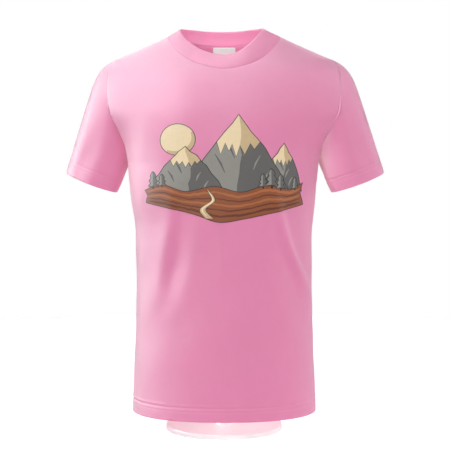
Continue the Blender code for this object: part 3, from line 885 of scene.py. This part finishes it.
# The sleeves: one tube of jersey each, sewn up under the arm. The head is eased into the armhole, and the
# sleeve falls straight from the shoulder to an oval opening just above the elbow.
SLEEVE_CROWN = (0.1790, 0.508)
SLEEVE_ROUNDING = 14.0
SLEEVE_HEM_MIDDLE = (0.1917, 0.334)
SLEEVE_HEM_SWING = {LEFT: 0.0014, RIGHT: 0.0}       # how much further out a sleeve's hem hangs
SLEEVE_HEM_TILT = math.radians(21)
SLEEVE_HEM_RADII = (0.0393, 0.052)
SLEEVE_HEM_DROP = 0.003
SLEEVE_FLATNESS = 0.80              # 1 is a true oval, less is flatter at the front and the back
SLEEVE_HEM_SHARE = 0.4              # its stitches pull in less than the body's
# The first is stated too large: it is the length of the armhole seam, and straight across the sleeve
# is about 0.30 round.
SLEEVE_COLUMNS = 144
SLEEVE_ROWS = 56
SLEEVE_HEM_ROWS = (0.0, 0.0003, 0.0007, 0.0015, 0.003, 0.005, 0.007, 0.009, 0.0105, 0.0115, 0.0120,
                   0.0125, 0.0130, 0.0135, 0.0145, 0.0155, 0.0165, 0.0175, 0.0180, 0.0185, 0.0190, 0.0195)
# Each fold: its turn round the sleeve at the armhole and at the hem (0 is the shoulder, a quarter is the
# front), its half width as a turn, where it starts and ends down the sleeve, and its rise.
SLEEVE_FOLDS = {
    RIGHT: (
        (0.17, 0.10, 0.045, 0.25, 1.30, 0.0016), (0.24, 0.17, 0.040, 0.25, 1.30, -0.0014),
        (0.31, 0.25, 0.040, 0.25, 1.25, 0.0010), (0.405, 0.40, 0.070, -0.10, 1.60, 0.0060),
        (0.75, 0.80, 0.050, 0.20, 1.20, 0.0022), (0.62, 0.66, 0.040, 0.20, 1.20, -0.0018),
    ),
    LEFT: (
        (0.12, 0.09, 0.045, 0.30, 1.30, 0.0012), (0.22, 0.17, 0.040, 0.25, 1.30, -0.0012),
        (0.33, 0.30, 0.040, 0.20, 1.20, 0.0010), (0.405, 0.40, 0.070, -0.10, 1.60, 0.0060),
        (0.75, 0.79, 0.050, 0.20, 1.20, 0.0020),
        (0.64, 0.68, 0.040, 0.20, 1.20, -0.0016),
    ),
}


def oval(top, bottom, opening, angle, front_drop=0.0, power=1.0):
    """Points of an oval between (half width, height) ends, which opens front and back."""
    down = (1 - np.cos(angle)) / 2
    x = top[0] + (bottom[0] - top[0]) * down
    height = top[1] + (bottom[1] - top[1]) * down - front_drop * np.sin(angle)
    across = np.sign(np.sin(angle)) * np.abs(np.sin(angle)) ** power
    return np.stack((x, -opening * across, HEM_HEIGHT + height), axis=-1)


def sleeve_surface(angle, along, side):
    """Points of a sleeve at angles round it, from the armhole (0) to the edge of its hem (1)."""
    reach_x = SLEEVE_HEM_RADII[0] * math.cos(SLEEVE_HEM_TILT)
    reach_z = SLEEVE_HEM_RADII[0] * math.sin(SLEEVE_HEM_TILT)
    middle = SLEEVE_HEM_MIDDLE[0] + SLEEVE_HEM_SWING[side]
    outer = (middle + SLEEVE_HEM_SWING[side] + reach_x, SLEEVE_HEM_MIDDLE[1] + reach_z)
    inner = (middle - SLEEVE_HEM_SWING[side] - reach_x, SLEEVE_HEM_MIDDLE[1] - reach_z)
    root = oval(SLEEVE_CROWN, (ARMHOLE_EDGE[0][1], ARMPIT), ARMHOLE_DEPTH, angle, power=SLEEVE_FLATNESS)
    hem = oval(outer, inner, SLEEVE_HEM_RADII[1], angle, SLEEVE_HEM_DROP, power=SLEEVE_FLATNESS)
    seam = oval(SHOULDER_TIP, (ARMHOLE_EDGE[0][1], ARMPIT), ARMHOLE_DEPTH, angle)
    seam[..., 0] = through(ARMHOLE_EDGE, seam[..., 2] - HEM_HEIGHT)
    along = along[..., None]
    points = root + (hem - root) * along + (seam - root) * np.exp(-SLEEVE_ROUNDING * along)
    reach = np.linalg.norm(points - seam, axis=-1)
    height = seam[..., 2] - HEM_HEIGHT
    for facing, on_face in ((FRONT, np.sin(angle) > 0), (BACK, np.sin(angle) < 0)):
        points[..., 1] += np.where(on_face, facing * armhole_ease(height, side, facing, reach), 0.0)
    return points


def sleeve_length(angle):
    ends = [sleeve_surface(angle, np.full_like(angle, end), LEFT) for end in (0.0, 1.0)]
    return np.linalg.norm(ends[1] - ends[0], axis=-1)


def draped_sleeve(side, angle, along, to_edge, proud=0.0):
    """The sleeve with its folds, its seam's hollow and the hollows of its hem's stitches."""
    flat = sleeve_surface(angle, along, side) * np.array((side, 1.0, 1.0))
    ringed = np.concatenate((flat[:, -1:], flat, flat[:, :1]), axis=1)
    normals = grid_normals(ringed)[:, 1:-1] * side
    turn = angle / (2 * math.pi)
    rise = np.full_like(turn, proud)
    for at_root, at_hem, width, start, end, height in SLEEVE_FOLDS[side]:
        share = np.clip((along - start) / (end - start), 0.0, 1.0)
        offset = (turn - (at_root + (at_hem - at_root) * along) + 0.5) % 1.0 - 0.5
        rise = rise + height * np.sin(np.pi * share) ** 1.3 * np.exp(-((offset / width) ** 2))
    reach = np.maximum(along * sleeve_length(angle), 0.0)
    rise = rise - ARMHOLE_SINK * np.exp(-((reach / SEAM_SPREAD) ** 2)) - SLEEVE_HEM_SHARE * hem_sink(to_edge)
    rise = rise - np.where(along < 0, 0.0008, 0.0)
    rise = rise - 0.0005 * np.exp(-(((turn - 0.5) / 0.006) ** 2))
    return flat + normals * rise[..., None]


sleeve_angle = np.linspace(0, 2 * math.pi, SLEEVE_COLUMNS, endpoint=False)
sleeve_down = sleeve_length(sleeve_angle)
for side, side_name in ((LEFT, "left"), (RIGHT, "right")):
    shares = np.concatenate(((-0.012, -0.006), (np.arange(SLEEVE_ROWS + 1) / SLEEVE_ROWS) ** 1.5))
    upper = shares[:, None] * (1 - HEM_BAND / sleeve_down)[None, :]
    lower = 1 - np.array(SLEEVE_HEM_ROWS)[::-1, None] / sleeve_down[None, :]
    along = np.concatenate((upper, lower))
    angles = np.broadcast_to(sleeve_angle, along.shape)
    to_edge = (1 - along) * sleeve_down
    roll = np.zeros(along.shape[0])
    roll[-3:] = (0.00005, 0.0003, 0.0008)
    points = draped_sleeve(side, angles, along, to_edge, proud=-roll[:, None])
    if side == RIGHT:
        points = points[:, ::-1]
    piece = add_cloth(f"sleeve_of_{side_name}_arm", points, jersey, ring=True)
    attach(piece, "root")
    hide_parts(f"sleeve_{side_name}")

# The sleeve hems: turned up and held like the body's hem, on a smaller ring.
for side, side_name in ((LEFT, "left"), (RIGHT, "right")):
    rows, inset = turn_up_rows[::-1], turn_up_inset[::-1]
    to_edge = np.broadcast_to(rows[:, None], (len(rows), SLEEVE_COLUMNS))
    angles = np.broadcast_to(sleeve_angle, to_edge.shape)
    points = draped_sleeve(side, angles, 1 - to_edge / sleeve_down, to_edge, proud=-inset[:, None])
    if side == RIGHT:
        points = points[:, ::-1]
    hem_of_sleeve = add_cloth(f"sleeve_hem_{side_name}_turned_up", points, jersey, ring=True)
    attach(hem_of_sleeve, "root")
    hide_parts(f"sleeve_hem_{side_name}")
    paths = []
    for row in HEM_STITCHES:
        edge = np.broadcast_to(np.array((row + 0.001, row + 0.0005, row))[:, None], (3, SLEEVE_COLUMNS))
        ring = draped_sleeve(side, angles[:3], 1 - edge / sleeve_down, edge, proud=STITCH_PROUD)
        paths.append((ring[2], outward_of(ring[1], ring[2]) * side, True))
    piece = sew(f"sleeve_hem_{side_name}_stitches", paths, thread)
    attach(piece, "root")

# The neck: a band of one-by-one rib knit, folded double lengthwise and sewn to the neckline a little
# shorter than it, so that it stands up round the neck.
NECK_EDGE_ACROSS = {RIGHT: 0.0634, LEFT: 0.0555}
NECK_EDGE_DEPTHS = {FRONT: 0.071, BACK: 0.052}
NECK_EDGE_HEIGHTS = {               # at degrees round from the middle of the front
    RIGHT: ((0, 0.5127), (15, 0.5147), (30, 0.5202), (45, 0.5283), (60, 0.5376), (75, 0.5462), (90, 0.5515),
            (105, 0.5541), (130, 0.5546), (155, 0.5536), (180, 0.5530)),
    LEFT: ((0, 0.5127), (15, 0.5152), (30, 0.5224), (45, 0.5325), (60, 0.5424), (75, 0.5495), (90, 0.5528),
           (105, 0.5553), (130, 0.5551), (155, 0.5537), (180, 0.5530)),
}
RIB_BULGE = 0.0009
NECK_SEAM_DIP = 0.0012              # how deep the seam pulls the rib in, most of all on the wearer's right
BAND_THICKNESS = 0.0019
RIBS = 360
RIB_COLUMNS = 6
RIB_DEPTH = 0.00022
RIB_WALE = 0.00068                  # a column of stitches: each rib has two


def neck_seam_ring(angle):
    rings = []
    for facing, from_middle in ((FRONT, angle), (BACK, math.pi - angle)):
        x, height = neck_seam(from_middle, facing)
        rings.append(body_surface(x, height, facing))
    return np.where((np.cos(angle) > 0)[:, None], rings[0], rings[1])


def neck_edge_ring(angle):
    in_front, on_left = np.cos(angle) > 0, np.sin(angle) > 0
    depth = np.where(in_front, NECK_EDGE_DEPTHS[FRONT], NECK_EDGE_DEPTHS[BACK])
    across = np.where(on_left, NECK_EDGE_ACROSS[LEFT], NECK_EDGE_ACROSS[RIGHT])
    turned = np.degrees(np.arccos(np.clip(np.cos(angle), -1.0, 1.0)))
    heights = {}
    for side, rows in NECK_EDGE_HEIGHTS.items():
        level_ends = ((-rows[1][0], rows[1][1]),) + rows + ((360 - rows[-2][0], rows[-2][1]),)
        heights[side] = through(level_ends, turned)
    height = np.where(on_left, heights[LEFT], heights[RIGHT])
    return np.stack((across * np.sin(angle), -depth * np.cos(angle), HEM_HEIGHT + height), axis=-1)


def rib_tree():
    """Raises ribs on a smooth band: its points move out and in along their normals, round the ring."""
    tree, given = new_tree("knitted ribs", {
        "Band": "Geometry", "Ribs": "Float", "Depth": "Float", "Knit": "Material",
    })
    around = add_node(tree, "GeometryNodeInputNamedAttribute", {"Name": "around"}, data_type="FLOAT")
    turns = math_node(tree, "MULTIPLY", around.outputs["Attribute"], given["Ribs"])
    wave = math_node(tree, "COSINE", math_node(tree, "MULTIPLY", turns, 2 * math.pi))
    normal = add_node(tree, "GeometryNodeInputNormal").outputs["Normal"]
    move = add_node(tree, "ShaderNodeVectorMath", {
        "Vector": normal, "Scale": math_node(tree, "MULTIPLY", wave, given["Depth"]),
    }, operation="SCALE")
    moved = add_node(tree, "GeometryNodeSetPosition", {
        "Geometry": given["Band"], "Offset": move.outputs["Vector"],
    })
    end_tree(tree, moved.outputs["Geometry"], given["Knit"])
    return tree


rib_knit = knit_material("pink rib knit", (0.731, 0.200, 0.385), wale=RIB_WALE, course=0.0007)
angle = np.linspace(0, 2 * math.pi, RIBS * RIB_COLUMNS, endpoint=False)
seam_ring, edge_ring = neck_seam_ring(angle), neck_edge_ring(angle)
away = np.stack((np.sin(angle), -np.cos(angle), np.zeros_like(angle)), axis=-1)
band_depth = np.linalg.norm(edge_ring - seam_ring, axis=-1)
round_end = BAND_THICKNESS / 2


def band_row(share):
    share = np.broadcast_to(share, angle.shape)[:, None]
    return seam_ring + (edge_ring - seam_ring) * share + away * RIB_BULGE * np.sin(np.pi * share)


def band_normal(share):
    up = band_row(share + 0.01) - band_row(share - 0.01)
    row = band_row(share)
    normal = np.cross(np.roll(row, -1, axis=0) - np.roll(row, 1, axis=0), up)
    return normal / np.linalg.norm(normal, axis=-1, keepdims=True)


start_share = -0.0006 / band_depth
end_share = 1 - round_end / band_depth
section = [(start_share + near / band_depth, 0.0) for near in (0.0, 0.0006, 0.0012, 0.0018, 0.0028)]
section += [(start_share + (end_share - start_share) * i / 9, 0.0) for i in range(2, 10)]
for turn in np.linspace(math.pi / 2, -math.pi / 2, 7)[1:-1]:
    over = round_end / band_depth * math.cos(turn)
    section.append((end_share + over, -round_end * (1 - math.sin(turn))))
section += [(start_share + (end_share - start_share) * i / 6, -BAND_THICKNESS) for i in range(6, -1, -1)]
for turn in np.linspace(-math.pi / 2, math.pi / 2, 5)[1:-1]:
    under = round_end / band_depth * math.cos(turn)
    section.append((start_share - under, -round_end * (1 - math.sin(turn))))
seam_dip = NECK_SEAM_DIP * (0.3 + 0.7 * np.clip(-np.sin(angle), 0.0, 1.0) ** 0.5)
band_rows = []
for row_share, inset in section:
    dip = seam_dip * np.exp(-((row_share * band_depth / 0.0011) ** 2)) if inset == 0.0 else 0.0 * seam_dip
    band_rows.append(band_row(row_share) + band_normal(row_share) * (inset - dip)[..., None])
band_points = np.array(band_rows)
band_faces = grid_faces(len(section), len(angle), ring=True)
last = (len(section) - 1) * len(angle)
for i in range(len(angle)):
    beside = (i + 1) % len(angle)
    band_faces.append((last + i, last + beside, beside, i))
collar = add_piece("neck_rib_band", band_points, band_faces, rib_knit)
around = np.tile(np.arange(len(angle)) / len(angle), len(section))
collar.data.attributes.new("around", "FLOAT", "POINT").data.foreach_set("value", around)
knit_across = np.arange(len(angle) + 1) / len(angle) * RIBS * 2 * RIB_WALE
row_steps = np.linalg.norm(np.roll(band_points, -1, axis=0) - band_points, axis=-1).mean(axis=1)
knit_up = np.concatenate(((0.0,), np.cumsum(row_steps)))
knit_corners = []
for row in range(len(section)):
    for i in range(len(angle)):
        for step_up, step_across in ((0, 0), (0, 1), (1, 1), (1, 0)):
            knit_corners.append((knit_across[i + step_across], knit_up[row + step_up]))
collar.data.uv_layers.new(name="Knit").data.foreach_set("uv", np.ravel(knit_corners))
ribs = collar.modifiers.new("Ribs", "NODES")
ribs.node_group = rib_tree()
set_inputs(ribs, ribs.node_group, Ribs=float(RIBS), Depth=RIB_DEPTH, Knit=rib_knit)
settle(collar)
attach(collar, "root")
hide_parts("collar")

# The neck tape: a strip of the same jersey that covers the seam of the rib inside the back of the neck,
# from shoulder to shoulder, with its long edges folded under and a row of stitches along each.
TAPE_WIDTH = 0.010
TAPE_THICKNESS = 0.0006
TAPE_END = NECK_CORNER * 7 / 8      # share of the way from the middle of the back to its side
TAPE_ROWS = (0.0013, 0.0016, 0.0023, 0.0035, 0.0050, 0.0060, 0.0070, 0.0085, 0.0097, 0.0104, 0.0108)
TAPE_STITCHES = (0.0026, 0.0095)
TAPE_RISE = 0.0009                  # it lies over the turnings of the seam, which lift it


def inside_back(down, inset):
    """Points on the inside of the back, at distances down from its neckline and insets behind it."""
    columns = np.concatenate((-panel_share[:0:-1], panel_share))[::-1]
    chosen = np.abs(columns) <= TAPE_END + 1e-9
    grid = panels[BACK][:, chosen][::-1]
    normals = grid_normals(panels[BACK])[:, chosen][::-1]
    depth = lengths_along(grid, 0)
    rows = []
    for distance, behind in zip(down, inset):
        row = []
        for column in range(grid.shape[1]):
            place = [np.interp(distance, depth[:, column], grid[:, column, i]) for i in range(3)]
            normal = [np.interp(distance, depth[:, column], normals[:, column, i]) for i in range(3)]
            row.append(np.array(place) - np.array(normal) / np.linalg.norm(normal) * behind)
        rows.append(row)
    return np.array(rows)


tape_down = np.array(TAPE_ROWS)[::-1]
tape_edge = np.minimum(tape_down - tape_down.min(), tape_down.max() - tape_down)
tape_behind = CLOTH + 0.0001 + 0.0005 * (1 - np.exp(-tape_edge / 0.0008))
tape_behind = tape_behind + TAPE_RISE * (1 - (tape_down - tape_down.min()) / TAPE_WIDTH)
for row in TAPE_STITCHES:
    tape_behind = tape_behind - 0.0002 * np.exp(-(((tape_down - row) / 0.0009) ** 2))
tape_points = inside_back(tape_down, tape_behind)
tape = add_cloth("neck_seam_tape", tape_points, jersey, thickness=TAPE_THICKNESS)
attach(tape, "root")
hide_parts("neck_tape")
tape_paths = []
for row in TAPE_STITCHES:
    behind = float(np.interp(row, tape_down[::-1], tape_behind[::-1])) + TAPE_THICKNESS
    path = inside_back((row, row + 0.0003), (behind, behind))
    inwards = np.cross(path[0] - path[1], np.gradient(path[0], axis=0))
    inwards = inwards / np.linalg.norm(inwards, axis=-1, keepdims=True)
    tape_paths.append((path[0], inwards, False))
tape_stitches = sew("neck_tape_stitches", tape_paths, thread, radius=0.0002)
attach(tape_stitches, "root")

# The neck label: a bare satin-woven ribbon with a raised border, its ends folded under and sewn down on
# all four sides inside the back of the neck, with a finer white thread.
LABEL_WIDTH = 0.0335
LABEL_HEIGHTS = (0.488, 0.530)
# Stated too short: this is its height straight up, and along the leaning cloth it is 0.0505.
LABEL_INSET = 0.0042
LABEL_THICKNESS = 0.0005
LABEL_STITCHES_IN = 0.0022
LABEL_COLUMNS = 40
LABEL_ROWS = 48
label_weave, tree, label_shader = new_finish("white woven label", {"Roughness": 0.5, "Sheen Weight": 0.1})
label_map = add_node(tree, "ShaderNodeUVMap", uv_map="Knit")
label_split = add_node(tree, "ShaderNodeSeparateXYZ", {"Vector": label_map.outputs["UV"]})
warp = math_node(tree, "SINE", math_node(tree, "MULTIPLY", label_split.outputs["X"], 2 * math.pi / 0.00035))
weft = math_node(tree, "SINE", math_node(tree, "MULTIPLY", label_split.outputs["Y"], 2 * math.pi / 0.00050))
weave = math_node(tree, "MULTIPLY", warp, weft)
add_bump(tree, label_shader, weave, 0.35, 0.0001)
# Painted shade: the weave is coloured darker where its bump is low, in the hollows between the threads.
weave_painted_shade = math_node(tree, "MULTIPLY_ADD", weave, 0.3, 0.6)
label_tone = two_tones(tree, weave_painted_shade, (0.56, 0.56, 0.57), (0.80, 0.80, 0.80))
tree.links.new(label_tone, label_shader.inputs["Base Color"])
label_x = np.linspace(LABEL_WIDTH / 2, -LABEL_WIDTH / 2, LABEL_COLUMNS + 1)
label_z = np.linspace(*LABEL_HEIGHTS, LABEL_ROWS + 1)
label_x, label_z = np.meshgrid(label_x, label_z)
from_label_edge = np.minimum(LABEL_WIDTH / 2 - np.abs(label_x),
                             np.minimum(label_z - LABEL_HEIGHTS[0], LABEL_HEIGHTS[1] - label_z))
border = 0.00015 * np.exp(-(((from_label_edge - 0.0004) / 0.0006) ** 2))
border = border - 0.0002 * np.exp(-(((from_label_edge - LABEL_STITCHES_IN) / 0.0005) ** 2))
label_points = body_surface(label_x, label_z, BACK, proud=-LABEL_INSET - border)
label = add_cloth("neck_woven_label", label_points, label_weave, thickness=LABEL_THICKNESS)
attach(label, "root")
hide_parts("neck_label")
label_paths = []
label_side = LABEL_WIDTH / 2 - LABEL_STITCHES_IN
label_low, label_high = LABEL_HEIGHTS[0] + LABEL_STITCHES_IN, LABEL_HEIGHTS[1] - LABEL_STITCHES_IN
label_proud = -(LABEL_INSET + LABEL_THICKNESS - 0.0001)
label_corners = ((-label_side, label_low), (label_side, label_low),
                 (label_side, label_high), (-label_side, label_high))
for start, end in zip(label_corners, label_corners[1:] + label_corners[:1]):
    share = np.linspace(0.0, 1.0, 24)
    x, height = start[0] + (end[0] - start[0]) * share, start[1] + (end[1] - start[1]) * share
    path = body_surface(x, height, BACK, proud=label_proud)
    inwards = path - body_surface(x, height, BACK)
    label_paths.append((path, inwards / np.linalg.norm(inwards, axis=-1, keepdims=True), False))
label_stitches = sew("neck_label_stitches", label_paths, label_weave,
                     pitch=0.0021, length=0.0017, radius=0.00016)
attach(label_stitches, "root")

# The studio: a white painted floor before a white background, softboxes all round, and more, most of them
# on the left, that only add shine.
CAMERA_PLACE = (0.0012, -2.0, HEM_HEIGHT + 0.397)
CAMERA_TILT = math.radians(3.65)
CAMERA_LENS = 110.0
FLOOR_RADIUS = 1.3
FLOOR_GLOW = 0.53
SOFTBOX_DISTANCE = 1.9
SOFTBOX_SIZE = 1.0
SHADOWLESS = (45, 155)              # degrees from the front between which a softbox casts no shadow
CHEST = (0.0, 0.0, HEM_HEIGHT + 0.35)

camera = bpy.data.objects.new("camera", bpy.data.cameras.new("camera"))
camera.data.lens = CAMERA_LENS
camera.location = CAMERA_PLACE
camera.rotation_euler = (math.radians(90) - CAMERA_TILT, 0.0, 0.0)
bpy.context.collection.objects.link(camera)
bpy.context.scene.camera = camera
bpy.context.scene.view_settings.view_transform = "Standard"

# Two small lamps inside the shirt, hidden by it: one lights the back of its neck, one the stand's plate.
# Each: size, power, colour, place and the point that it shines at.
LAMPS = {
    "neck": ((0.110, 0.025), 0.090, (0.80, 1.0, 0.90), (0.0, -0.034, HEM_HEIGHT + 0.497),
             (0.0, 0.060, HEM_HEIGHT + 0.544)),
    "plate": ((0.120, 0.060), 0.17, (0.80, 1.0, 0.90), (0.0, -0.045, HEM_HEIGHT + 0.150),
              (0.0, -0.035, 0.0)),
}
for lamp_name, (lamp_size, power, colour, place, aim) in LAMPS.items():
    lamp = bpy.data.lights.new(f"{lamp_name} lamp", "AREA")
    lamp.shape = "RECTANGLE"
    lamp.size, lamp.size_y = lamp_size
    lamp.energy, lamp.color = power, colour
    light = bpy.data.objects.new(f"{lamp_name} lamp", lamp)
    light.location = place
    light.rotation_euler = (Vector(aim) - light.location).to_track_quat("-Z", "Y").to_euler()
    light.visible_camera = False
    bpy.context.collection.objects.link(light)

# Each softbox: degrees round from the front, degrees up, and power. The second group only adds shine.
SOFTBOXES = {
    "front_low": (0, -8, 4.1), "front_left": (-30, 40, 17.8), "front_right": (30, 40, 8.8),
    "right": (90, 8, 9.9), "behind": (180, 40, 16.1),
}
SHINE_BOXES = {
    "shine_front_left": (-45, 40, 112.0), "shine_low_left": (-45, 8, 13.7), "shine_left": (-100, 8, 129.0),
    "shine_left_high": (-75, 40, 12.7), "shine_top_left": (-90, 75, 68.2),
    "shine_behind_left": (-130, 40, 23.4), "shine_far_left": (-155, 40, 14.6),
    "shine_right_high": (90, 40, 25.3), "shine_front_right": (60, 8, 9.8), "shine_right": (110, 8, 14.6),
}
for box_name, (azimuth, elevation, power) in {**SOFTBOXES, **SHINE_BOXES}.items():
    turn, lift = math.radians(azimuth), math.radians(elevation)
    reach = SOFTBOX_DISTANCE * math.cos(lift)
    offset = Vector((reach * math.sin(turn), -reach * math.cos(turn), SOFTBOX_DISTANCE * math.sin(lift)))
    light = bpy.data.objects.new(box_name, bpy.data.lights.new(box_name, "AREA"))
    light.data.size = SOFTBOX_SIZE
    light.data.energy = power
    light.location = Vector(CHEST) + offset
    light.rotation_euler = (-offset).to_track_quat("-Z", "Y").to_euler()
    light.visible_diffuse = box_name in SOFTBOXES
    light.data.use_shadow = not SHADOWLESS[0] <= abs(azimuth) <= SHADOWLESS[1]
    bpy.context.collection.objects.link(light)

world = bpy.data.worlds.new("studio")
world.use_nodes = True
world.node_tree.nodes["Background"].inputs["Color"].default_value = (1.0, 1.0, 1.0, 1.0)
world.node_tree.nodes["Background"].inputs["Strength"].default_value = 1.0
bpy.context.scene.world = world
world.cycles_visibility.diffuse = False
world.cycles_visibility.glossy = False

floor_paint = new_finish("white floor paint", {
    "Base Color": (0.88, 0.88, 0.88, 1.0), "Roughness": 0.95, "Specular IOR Level": 0.1,
    "Emission Color": (1.0, 1.0, 1.0, 1.0), "Emission Strength": FLOOR_GLOW,
})[0]
rim = np.linspace(0, 2 * math.pi, 96, endpoint=False)
floor = add_piece(
    "studio_floor",
    np.stack((FLOOR_RADIUS * np.cos(rim), FLOOR_RADIUS * np.sin(rim), np.zeros_like(rim)), axis=-1),
    [tuple(range(len(rim)))],
    floor_paint,
)
